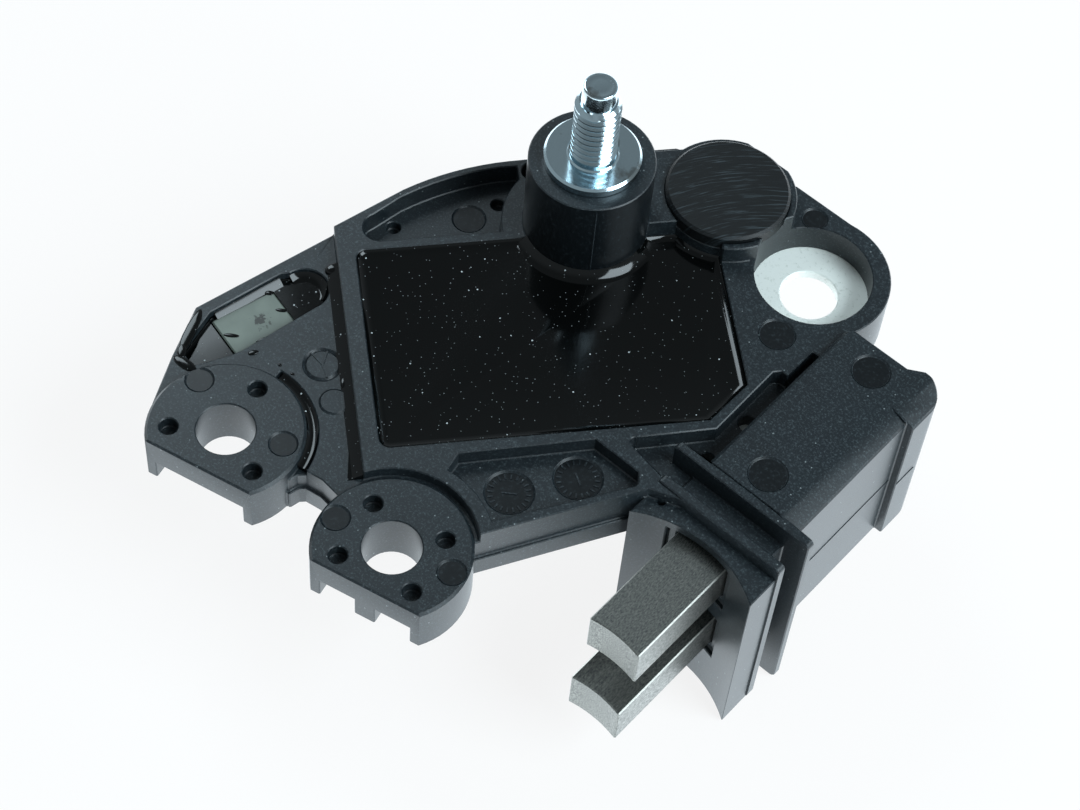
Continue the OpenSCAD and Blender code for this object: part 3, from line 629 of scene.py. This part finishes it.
gel_bead("wall_bead", (-34.2, 8.6), (-32.55, 16.7), side_level, away=(0.98, -0.2), bulk=2.2,
         cuts=((1.15, 30), (1.0, 37), (0.92, 44)))
gel_bead("pot_wall_bead", (-28.7, 21.88), (-8.0, 4.2), plate_floor, away=(-0.6494, -0.7605),
         bulk=2.6, cuts=((1.5, 25), (1.2, 38)))

# %% [markdown]
# Gel also ran over. It fills the groove round the left boss, with a hollow surface between its
# walls, climbs the round end of the side pocket and the foot of the stud's boss, and lies in a
# thin black wedge along the foot of the pot's left wall, which stands for gel in a deep gap there
# and is partly painted shade of that gap. A ring of it starts as an upright plane, whose
# top edge is shaped and which is then spun round an axis.

# %% Upright planes
def upright_plane(name, low, high):
    """A plane that stands in the xz plane between two corners in millimetres, in edit mode."""
    bpy.ops.object.select_all(action="DESELECT")
    bpy.ops.mesh.primitive_plane_add(size=1, location=(0, 0, 0))
    made = bpy.context.object
    made.name = name
    edit_all(made)
    bpy.ops.transform.resize(value=((high[0] - low[0]) * mm, (high[1] - low[1]) * mm, 1))
    turn(-90, "X")
    move((low[0] + high[0]) / 2, 0, (low[1] + high[1]) / 2)
    return made


print("gel levels in the pot and the side pocket:", round(pot_level, 2), round(side_level, 2), "mm")

# %% Rings of gel
def gel_ring(name, centre, inner, outer, base, start, sweep, surface):
    """A ring sector of gel; surface gives its level from the inner wall, 0, to the outer one, 1."""
    steps, top = 8, base + 3
    made = upright_plane(name, (inner, base), (outer, top))
    edit_where(made, "EDGE", lambda c: c.z > top - 0.01)
    bpy.ops.mesh.subdivide(number_cuts=steps - 1)
    for step in range(steps + 1):
        reach = inner + (outer - inner) * step / steps
        edit_where(made, "VERT", lambda c: c.z > top - 0.01 and abs(c.x - reach) < 0.01)
        move(0, 0, surface(step / steps) - top)
    bpy.ops.mesh.select_all(action="SELECT")
    turn(start)
    bpy.ops.mesh.spin(steps=44, angle=-radians(sweep), center=(0, 0, 0), axis=(0, 0, 1))
    bpy.ops.mesh.select_all(action="SELECT")
    move(*centre, 0)
    close_up(smooth_below=40)
    finish_piece(made, gel, "regulator")


left_bore, pocket_end = (-22.13, -1.51), (-29.2, 17.2)
gel_ring("groove_gel", left_bore, 8.35, 9.55, base=4.8, start=16, sweep=80,
         surface=lambda t: 5.3 + 0.95 * (t - 0.5) ** 2)
gel_ring("pocket_end_gel", pocket_end, 1.5, 2.72, base=side_level - 0.3, start=25, sweep=145,
         surface=lambda t: side_level - 0.02 + 0.75 * t ** 2)
gel_ring("boss_foot_gel", stud_axis, 6.8, 8.4, base=pot_level - 0.3, start=-118, sweep=128,
         surface=lambda t: pot_level + 1.1 * (1 - t) ** 2)

# %% Wedge of gel and painted shade at the foot of the pot's wall
# Each cut runs from one point to another and keeps what lies to its right
wedge_sides = (((-9.0, 2.9), (-17.25, 12.2)), ((-7.8, 4.4), (-9.0, 2.9)),
               ((-17.1, 12.55), (-7.8, 4.9)))
wedge_foot, wedge_top = 5.4, 5.66
# The flat black sheet stands for gel in a deep gap at the wall's foot; its black is partly painted
# shade of that gap
gel_and_shade_wedge = bar((-13, 8, wedge_foot), (-13, 8, wedge_top), 16)
gel_and_shade_wedge.name = "gel_and_shade_wedge"
edit_all(gel_and_shade_wedge)
for point, beyond in wedge_sides:
    bpy.ops.mesh.select_all(action="SELECT")
    run = Vector((beyond[0] - point[0], beyond[1] - point[1], 0))
    right = Vector((run.y, -run.x, 0)).normalized()
    bpy.ops.mesh.bisect(plane_co=(point[0] * mm, point[1] * mm, 0), plane_no=-right,
                        clear_outer=True, use_fill=True)
close_up()
finish_piece(gel_and_shade_wedge, gel, "regulator")

# %% [markdown]
# Small drops lie where gel was spilt: over the rim at the pocket's left end, on the plate and over
# the ends of the capacitor. Each starts as a circle, is stretched, made ragged and drawn in as it
# rises.

# %% A drop of gel
def drop(centre, half_size, heading, level, height, seed):
    """A flat drop of gel on a level, in millimetres, with its long side turned from the x axis."""
    sink = 0.05
    rises = ((sink + 0.3 * height, 1.0), (0.35 * height, 0.9), (0.22 * height, 0.82),
             (0.1 * height, 0.7))
    bpy.ops.object.select_all(action="DESELECT")
    bpy.ops.mesh.primitive_circle_add(vertices=28, radius=mm, fill_type="NGON",
                                      location=(0, 0, 0))
    made = bpy.context.object
    edit_all(made)
    bpy.ops.transform.resize(value=(*half_size, 1))
    bpy.ops.transform.vertex_random(offset=0.07 * min(half_size) * mm, seed=seed)
    bpy.ops.transform.resize(value=(1, 1, 0))
    for rise, kept in rises:
        bpy.ops.mesh.extrude_region_move(TRANSFORM_OT_translate={"value": (0, 0, rise * mm)})
        bpy.ops.transform.resize(value=(kept, kept, 1), center_override=(0, 0, 0))
    bpy.ops.mesh.select_all(action="SELECT")
    turn(heading)
    move(*centre, level - sink)
    close_up(smooth_below=60)
    return made


case_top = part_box("side_capacitor")[1][2] / mm
print("top of the capacitor:", round(case_top, 2), "mm")

# %% Spilt drops
# Centre, half size, heading, level and height of each drop, whose place in the list is its seed
spills = (((-33.92, 4.83), (3.1, 0.62), -66, plate_floor, 0.2),
          ((-31.4, 1.6), (1.5, 0.62), 6, plate_floor, 0.22),
          ((-32.75, 2.5), (1.0, 0.5), -50, plate_floor, 0.22),
          ((-28.6, 21.3), (1.1, 0.75), 60, plate_floor, 0.55),
          ((-27.2, 7.55), (0.6, 0.3), 60, plate_floor, 0.12),
          ((-24.1, 8.35), (0.25, 0.18), 0, plate_floor, 0.1),
          ((-22.3, 8.45), (0.25, 0.14), 30, plate_floor, 0.1),
          ((-17.6, 11.3), (0.75, 0.35), -45, plate_floor, 0.35),
          ((-30.95, 7.95), (0.85, 0.24), 37, case_top, 0.1),
          ((-29.4, 14.0), (0.7, 0.22), 37, case_top, 0.1),
          ((-32.0, 14.7), (0.45, 0.3), 37, case_top, 0.12),
          ((-28.2, 9.9), (0.8, 0.16), 70, case_top, 0.08))
drops = [drop(*spill, seed=number) for number, spill in enumerate(spills)]
spilt = drops[0]
spilt.name = "spilt_gel"
join(drops, spilt)
finish_piece(spilt, gel, "regulator")

# %% [markdown]
# ## The stud
# It is an M5 stud with a pitch of 0.8 mm. An upright plane gives the thread's profile, root to
# crest to root, and the Screw modifier winds it up. A rolled thread runs out softly, so the last
# crests are drawn in, ring by ring. The collar and the head are the CAD solid below it.

# %% Profile of the thread
pitch, crest, root, crest_share = 0.8, 2.5, 2.02, 0.16
flank = (crest + root) / 2
thread = upright_plane("stud_thread", (root, -pitch / 2), (crest, pitch / 2))
edit_where(thread, "VERT", lambda c: c.x > flank)
bpy.ops.transform.resize(value=(1, 1, crest_share))
edit_where(thread, "EDGE", lambda c: c.x < flank)
bpy.ops.mesh.delete(type="EDGE")
bpy.ops.object.mode_set(mode="OBJECT")
print("thread profile:", [tuple(round(c / mm, 2) for c in v.co) for v in thread.data.vertices])

# %% Winding the thread
collar_top, nose_length, weld = 19.15, 2.3, 0.005 * mm
thread_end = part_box("terminal_stud")[1][2] / mm - nose_length
turns = int((thread_end - collar_top) / pitch) + 3
winding = thread.modifiers.new("winding", "SCREW")
winding.axis = "Z"
winding.steps = winding.render_steps = 40
winding.iterations = turns
winding.screw_offset = pitch * mm
winding.use_merge_vertices = True
winding.merge_threshold = weld
pick(thread)
bpy.ops.object.modifier_apply(modifier=winding.name)
edit_all(thread)
bpy.ops.mesh.remove_doubles(threshold=weld)
move(*stud_axis, collar_top - pitch)
for level, outward in ((collar_top - 0.3, -1), (thread_end, 1)):
    bpy.ops.mesh.select_all(action="SELECT")
    bpy.ops.mesh.bisect(plane_co=(0, 0, level * mm), plane_no=(0, 0, outward), clear_outer=True,
                        use_fill=True)
close_up()
print("thread:", turns, "turns,", len(thread.data.polygons), "faces")

# %% Ending the thread
# Each ring of crests is given by its depth below the thread's end, and how much of it is kept
axis_point = (stud_axis[0] * mm, stud_axis[1] * mm, 0)
for deep, shallow, kept in ((0.62, 0.36, 0.96), (0.36, 0.18, 0.91), (0.18, -0.1, 0.84)):
    found = edit_where(thread, "VERT",
                       lambda c: deep >= thread_end - c.z > shallow and from_axis(c) > root + 0.1)
    bpy.ops.transform.resize(value=(kept, kept, 1), center_override=axis_point)
    bpy.ops.object.mode_set(mode="OBJECT")
    print("points drawn in to", kept, ":", found)
bpy.ops.object.shade_smooth_by_angle(angle=radians(25))

# %% Nose, collar and head of the stud
nose_foot, nose_top, nose_r = thread_end - 0.6, thread_end + nose_length, 1.85
bpy.ops.object.select_all(action="DESELECT")
bpy.ops.mesh.primitive_cylinder_add(
    vertices=96, radius=nose_r * mm, depth=(nose_top - nose_foot) * mm,
    location=(stud_axis[0] * mm, stud_axis[1] * mm, (nose_foot + nose_top) / 2 * mm))
nose = bpy.context.object
nose.name = "stud_nose"
bpy.ops.object.transform_apply(location=True, rotation=True, scale=True)
edit_where(nose, "FACE", lambda c, n: n.z > 0.9)
bpy.ops.mesh.bevel(offset=0.28 * mm, segments=3)
bpy.ops.object.mode_set(mode="OBJECT")
edit_where(nose, "FACE", lambda c, n: n.z > 0.999 and c.z > nose_top - 0.1)
bpy.ops.mesh.inset(thickness=0.25 * mm, depth=-0.05 * mm)
bpy.ops.mesh.inset(thickness=0.5 * mm, depth=0.03 * mm)
bpy.ops.object.mode_set(mode="OBJECT")
bpy.ops.object.shade_smooth_by_angle(angle=radians(30))

stud = copy_node("terminal_stud", "threaded_stud")
edit_all(stud)
bpy.ops.mesh.bisect(plane_co=(0, 0, (collar_top + 0.15) * mm), plane_no=(0, 0, 1),
                    clear_outer=True, use_fill=True)
bpy.ops.object.mode_set(mode="OBJECT")
break_edges(stud, 0.1)
join((thread, nose), stud)
finish_piece(stud, zinc, "regulator", "terminal_stud")

# %% [markdown]
# ## The ring terminal and the disc over the well
# The ring is stamped, so its hole has a soft edge. The disc is pressed into its seat and cut flush
# by a saw. The eye gets dull black plastic with shallow pale arcs across it and a fine dark gap
# round it. The arcs are noise that reads the distance from the blade's centre, so it stays almost
# the same along each arc.

# %% Ring terminal
ring = copy_node("ground_ring", "ring_terminal")
break_edges(ring, 0.12)
finish_piece(ring, tin, "regulator", "ground_ring")

# %% Sawn black plastic
sawn, tree, place = start_material("sawn_black_plastic")
blade_centre, drift = (18 * mm, 42 * mm, 0), (0.06, 0.06, 0.06)
across = add(tree, "VectorMath", {0: place, 1: blade_centre}, operation="SUBTRACT")
reach = add(tree, "VectorMath", {0: across.outputs[0]}, operation="LENGTH")
spread = add(tree, "VectorMath", {0: place, 1: drift}, operation="MULTIPLY")
arc = add(tree, "CombineXYZ", {"X": reach.outputs["Value"]})
along = add(tree, "VectorMath", {0: arc.outputs[0], 1: spread.outputs[0]}, operation="ADD")
# Saw marks are about 0.05 mm wide: they are drawn 0.2 mm wide so that they show
score = add(tree, "TexNoise", {"Vector": along.outputs[0], "Scale": 1 / (0.2 * mm), "Detail": 4.0,
                               "Roughness": 0.6})
mark = add(tree, "MapRange", {"Value": score.outputs[0], "From Min": 0.55, "From Max": 0.75})
tone = add(tree, "Mix", {0: mark.outputs[0], 6: colour("#0a0e10"), 7: colour("#3c464b")},
           data_type="RGBA")
gloss = add(tree, "MapRange", {"Value": score.outputs[0], "To Min": 0.35, "To Max": 0.6})
ridge = add(tree, "Bump", {"Height": score.outputs[0], "Strength": 0.5, "Distance": 0.03 * mm})
skin = add(tree, "BsdfPrincipled", {"Base Color": tone.outputs[2], "Roughness": gloss.outputs[0],
                                    "IOR": 1.5, "Specular IOR Level": 0.35,
                                    "Normal": ridge.outputs[0]})
add(tree, "OutputMaterial", {"Surface": skin.outputs[0]})
print("sawn_black_plastic:", len(tree.nodes), "nodes")

# %% Disc over the well
disc = copy_node("well_plug", "well_disc")
break_edges(disc, 0.08)
finish_piece(disc, sawn, "regulator", "well_plug")

# %% [markdown]
# ## The brushes
# Each brush is ground square, then its long edges are broken by hand; the flats along them carry a
# painted highlight.

# %% Brushes
for name in ("brush_upper", "brush_lower"):
    brush = copy_node(name, "carbon_" + name)
    break_edges(brush, 0.14)
    # The flats along the long edges get the painted highlight colour
    finish_piece(brush, carbon, name.replace("brush_", "") + "_brush", name, accent=edge_highlight,
                 where=lambda c, n: abs(n.x) > 0.4 and abs(n.z) > 0.4)

# %% [markdown]
# ## The capacitor
# A small block of grey moulded plastic lies in the side pocket with its top out of the gel. The
# eye gets an even, half-matt grey. Gel ran over it before it set, so it has a dark star in the
# middle and black nicks at both ends. The star is a spot whose edge is made ragged by noise.

# %% Grey capacitor case
case, tree, place = start_material("grey_capacitor_case")
case_low, case_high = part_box("side_capacitor")
middle = (case_low + case_high) / 2
star_centre = (middle.x + 0.3 * mm, middle.y + 0.6 * mm, case_high.z)
offset = add(tree, "VectorMath", {0: place, 1: star_centre}, operation="SUBTRACT")
away = add(tree, "VectorMath", {0: offset.outputs[0]}, operation="LENGTH")
ragged = add(tree, "TexNoise", {"Vector": place, "Scale": 1 / (0.5 * mm), "Detail": 3.0})
wobble = add(tree, "MapRange", {"Value": ragged.outputs[0], "From Min": 0.35, "From Max": 0.65,
                                "To Min": -0.5 * mm, "To Max": 0.7 * mm})
edge = add(tree, "Math", {0: away.outputs["Value"], 1: wobble.outputs[0]}, operation="ADD")
star = add(tree, "MapRange", {"Value": edge.outputs[0], "From Min": 0.5 * mm,
                              "From Max": 0.95 * mm, "To Min": 0.85, "To Max": 0.0})
shade = add(tree, "TexNoise", {"Vector": place, "Scale": 1 / (2.5 * mm), "Detail": 2.0})
plain = add(tree, "Mix", {0: shade.outputs[0], 6: colour("#555e57"), 7: colour("#747d74")},
            data_type="RGBA")
tone = add(tree, "Mix", {0: star.outputs[0], 6: plain.outputs[2], 7: colour("#22201f")},
           data_type="RGBA")
skin = add(tree, "BsdfPrincipled", {"Base Color": tone.outputs[2], "Roughness": 0.42, "IOR": 1.5})
add(tree, "OutputMaterial", {"Surface": skin.outputs[0]})
print("grey_capacitor_case:", len(tree.nodes), "nodes")

# %% Capacitor
block = copy_node("side_capacitor", "capacitor_block")
break_edges(block, 0.18)
finish_piece(block, case, "regulator", "side_capacitor")

# %% [markdown]
# ## Springs and braids
# Behind each brush a coil spring pushes it out and a copper braid carries its current. The spring
# is drawn steel under a film of oil, a smooth grey metal with faint streaks. The braid is bare
# copper that has gone brown in places, and its fine wires break up the shine.

# %% Spring steel
spring_steel, tree, place = start_material("oiled_spring_steel")
drawn = add(tree, "TexNoise", {"Vector": place, "Scale": 1 / (0.3 * mm), "Detail": 2.0})
tone = add(tree, "Mix", {0: drawn.outputs[0], 6: colour("#a9aaa6"), 7: colour("#7c7d7a")},
           data_type="RGBA")
metal = add(tree, "BsdfPrincipled", {"Base Color": tone.outputs[2], "Metallic": 1.0,
                                     "Roughness": 0.3})
add(tree, "OutputMaterial", {"Surface": metal.outputs[0]})
print("oiled_spring_steel:", len(tree.nodes), "nodes")

# %% Braided copper
copper, tree, place = start_material("braided_copper")
wires = add(tree, "TexNoise", {"Vector": place, "Scale": 1 / (0.12 * mm), "Detail": 2.0})
tone = add(tree, "Mix", {0: wires.outputs[0], 6: colour("#c98a5e"), 7: colour("#8c4f2c")},
           data_type="RGBA")
fray = add(tree, "Bump", {"Height": wires.outputs[0], "Strength": 0.6, "Distance": 0.03 * mm})
metal = add(tree, "BsdfPrincipled", {"Base Color": tone.outputs[2], "Metallic": 1.0,
                                     "Roughness": 0.38, "Normal": fray.outputs[0]})
add(tree, "OutputMaterial", {"Surface": metal.outputs[0]})
print("braided_copper:", len(tree.nodes), "nodes")

# %% [markdown]
# Both are squeezed when the brush is pushed in. The spring's wire is the CAD coil made round by
# one step of subdivision. The braid is six strands wound round the axis: one is made from a
# circle with the Screw modifier, and the rest are turned copies.

# %% Spring
def round_spring(side):
    """The coil behind a brush, with its wire made round."""
    coil = copy_node("spring_" + side, "coil_" + side, flat=False)
    round_wire = coil.modifiers.new("round_wire", "SUBSURF")
    round_wire.levels = round_wire.render_levels = 1
    bpy.ops.object.modifier_apply(modifier=round_wire.name)
    return coil


# %% Braid
def wound_braid(side, strands=6, lay_turns=3, end_margin=0.4 * mm):
    """Strands wound round the axis of a brush's braid, each as thick as a third of the braid."""
    low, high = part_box("pigtail_" + side)
    strand_r = (high.x - low.x) / 6
    bpy.ops.object.select_all(action="DESELECT")
    bpy.ops.mesh.primitive_circle_add(vertices=8, radius=strand_r, location=(0, 0, 0))
    braid = bpy.context.object
    braid.name = "braid_" + side
    edit_all(braid)
    turn(-90, "X")
    bpy.ops.transform.translate(value=(strand_r * 2, 0, 0))
    bpy.ops.object.mode_set(mode="OBJECT")
    lay = braid.modifiers.new("lay", "SCREW")
    lay.axis = "Z"
    lay.steps = lay.render_steps = 14
    lay.iterations = lay_turns
    lay.screw_offset = (high.y - low.y - end_margin) / lay_turns
    bpy.ops.object.modifier_apply(modifier=lay.name)
    edit_all(braid)
    for copy in range(strands - 1):
        bpy.ops.mesh.duplicate()
        turn(-360 / strands)
    bpy.ops.mesh.select_all(action="SELECT")
    turn(-90, "X")
    bpy.ops.object.mode_set(mode="OBJECT")
    rear_end = max(v.co.y for v in braid.data.vertices)
    bpy.ops.object.mode_set(mode="EDIT")
    bpy.ops.transform.translate(value=((low.x + high.x) / 2, high.y - rear_end,
                                       (low.z + high.z) / 2))
    bpy.ops.mesh.select_mode(type="EDGE")
    bpy.ops.mesh.select_all(action="DESELECT")
    bpy.ops.mesh.select_non_manifold()
    bpy.ops.mesh.edge_face_add()
    close_up(smooth_below=60)
    return braid


braid_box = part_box("pigtail_upper")
print("thickness of a braid:", round((braid_box[1].x - braid_box[0].x) / mm, 2), "mm")

# %% Springs and braids in place
for side in ("upper", "lower"):
    for soft, finish, node in ((round_spring(side), spring_steel, "spring_" + side),
                               (wound_braid(side), copper, "pigtail_" + side)):
        finish_piece(soft, finish, "regulator", node)
        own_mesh(soft)

# %% [markdown]
# ## Inside the pot
# Nothing of the circuit shows, but the part is made to be opened up. The strips are tinned brass.
# The substrate is fired alumina, cream white and finely pored. The chips are moulded epoxy, matt
# and nearly black from its filler. The heat sink is rolled aluminium, with fine lines that follow
# the pot's turn.

# %% Tinned strips
for name in ("capacitor_lead_a", "capacitor_lead_b", "stud_lead", "phase_terminal",
             "field_lead_upper", "field_lead_lower"):
    strip = copy_node(name, "tinned_" + name)
    break_edges(strip, 0.06)
    finish_piece(strip, tin, "regulator", name)

# %% Fired alumina
alumina, tree, place = start_material("fired_alumina")
sinter = add(tree, "TexNoise", {"Vector": place, "Scale": 1 / (0.4 * mm), "Detail": 4.0})
tone = add(tree, "Mix", {0: sinter.outputs[0], 6: colour("#ece7da"), 7: colour("#d6d0c1")},
           data_type="RGBA")
pore = add(tree, "Bump", {"Height": sinter.outputs[0], "Strength": 0.2, "Distance": 0.01 * mm})
skin = add(tree, "BsdfPrincipled", {"Base Color": tone.outputs[2], "Roughness": 0.5, "IOR": 1.76,
                                    "Normal": pore.outputs[0]})
add(tree, "OutputMaterial", {"Surface": skin.outputs[0]})
print("fired_alumina:", len(tree.nodes), "nodes")

# %% Moulded epoxy
epoxy, tree, place = start_material("moulded_black_epoxy")
filler = add(tree, "TexNoise", {"Vector": place, "Scale": 1 / (0.2 * mm), "Detail": 3.0})
tone = add(tree, "Mix", {0: filler.outputs[0], 6: colour("#1f2225"), 7: colour("#34373a")},
           data_type="RGBA")
rough = add(tree, "Bump", {"Height": filler.outputs[0], "Strength": 0.3, "Distance": 0.01 * mm})
skin = add(tree, "BsdfPrincipled", {"Base Color": tone.outputs[2], "Roughness": 0.6, "IOR": 1.55,
                                    "Normal": rough.outputs[0]})
add(tree, "OutputMaterial", {"Surface": skin.outputs[0]})
print("moulded_black_epoxy:", len(tree.nodes), "nodes")

# %% Rolled aluminium
pot_turn, stretch = radians(-49.5), 0.04
aluminium, tree, place = start_material("rolled_aluminium")
turned = add(tree, "Mapping", {"Vector": place, "Rotation": (0, 0, pot_turn),
                               "Scale": (stretch, 1, 1)})
rolling = add(tree, "TexNoise", {"Vector": turned.outputs[0], "Scale": 1 / (0.2 * mm),
                                 "Detail": 4.0})
tone = add(tree, "Mix", {0: rolling.outputs[0], 6: colour("#c9cbcc"), 7: colour("#a3a6a8")},
           data_type="RGBA")
gloss = add(tree, "MapRange", {"Value": rolling.outputs[0], "To Min": 0.28, "To Max": 0.45})
scratches = add(tree, "Bump", {"Height": rolling.outputs[0], "Strength": 0.25,
                               "Distance": 0.01 * mm})
metal = add(tree, "BsdfPrincipled", {"Base Color": tone.outputs[2], "Metallic": 1.0,
                                     "Roughness": gloss.outputs[0],
                                     "Normal": scratches.outputs[0]})
add(tree, "OutputMaterial", {"Surface": metal.outputs[0]})
print("rolled_aluminium:", len(tree.nodes), "nodes")

# %% Circuit pieces and heat sink
for name, piece_name, finish, width in (
        ("circuit_substrate", "ceramic_substrate", alumina, 0.05),
        ("regulator_chip", "chip_body", epoxy, 0.15),
        ("freewheel_diode", "diode_body", epoxy, 0.1),
        ("heat_sink", "aluminium_sink", aluminium, 0.15)):
    piece = copy_node(name, piece_name)
    break_edges(piece, width)
    finish_piece(piece, finish, "regulator", name)
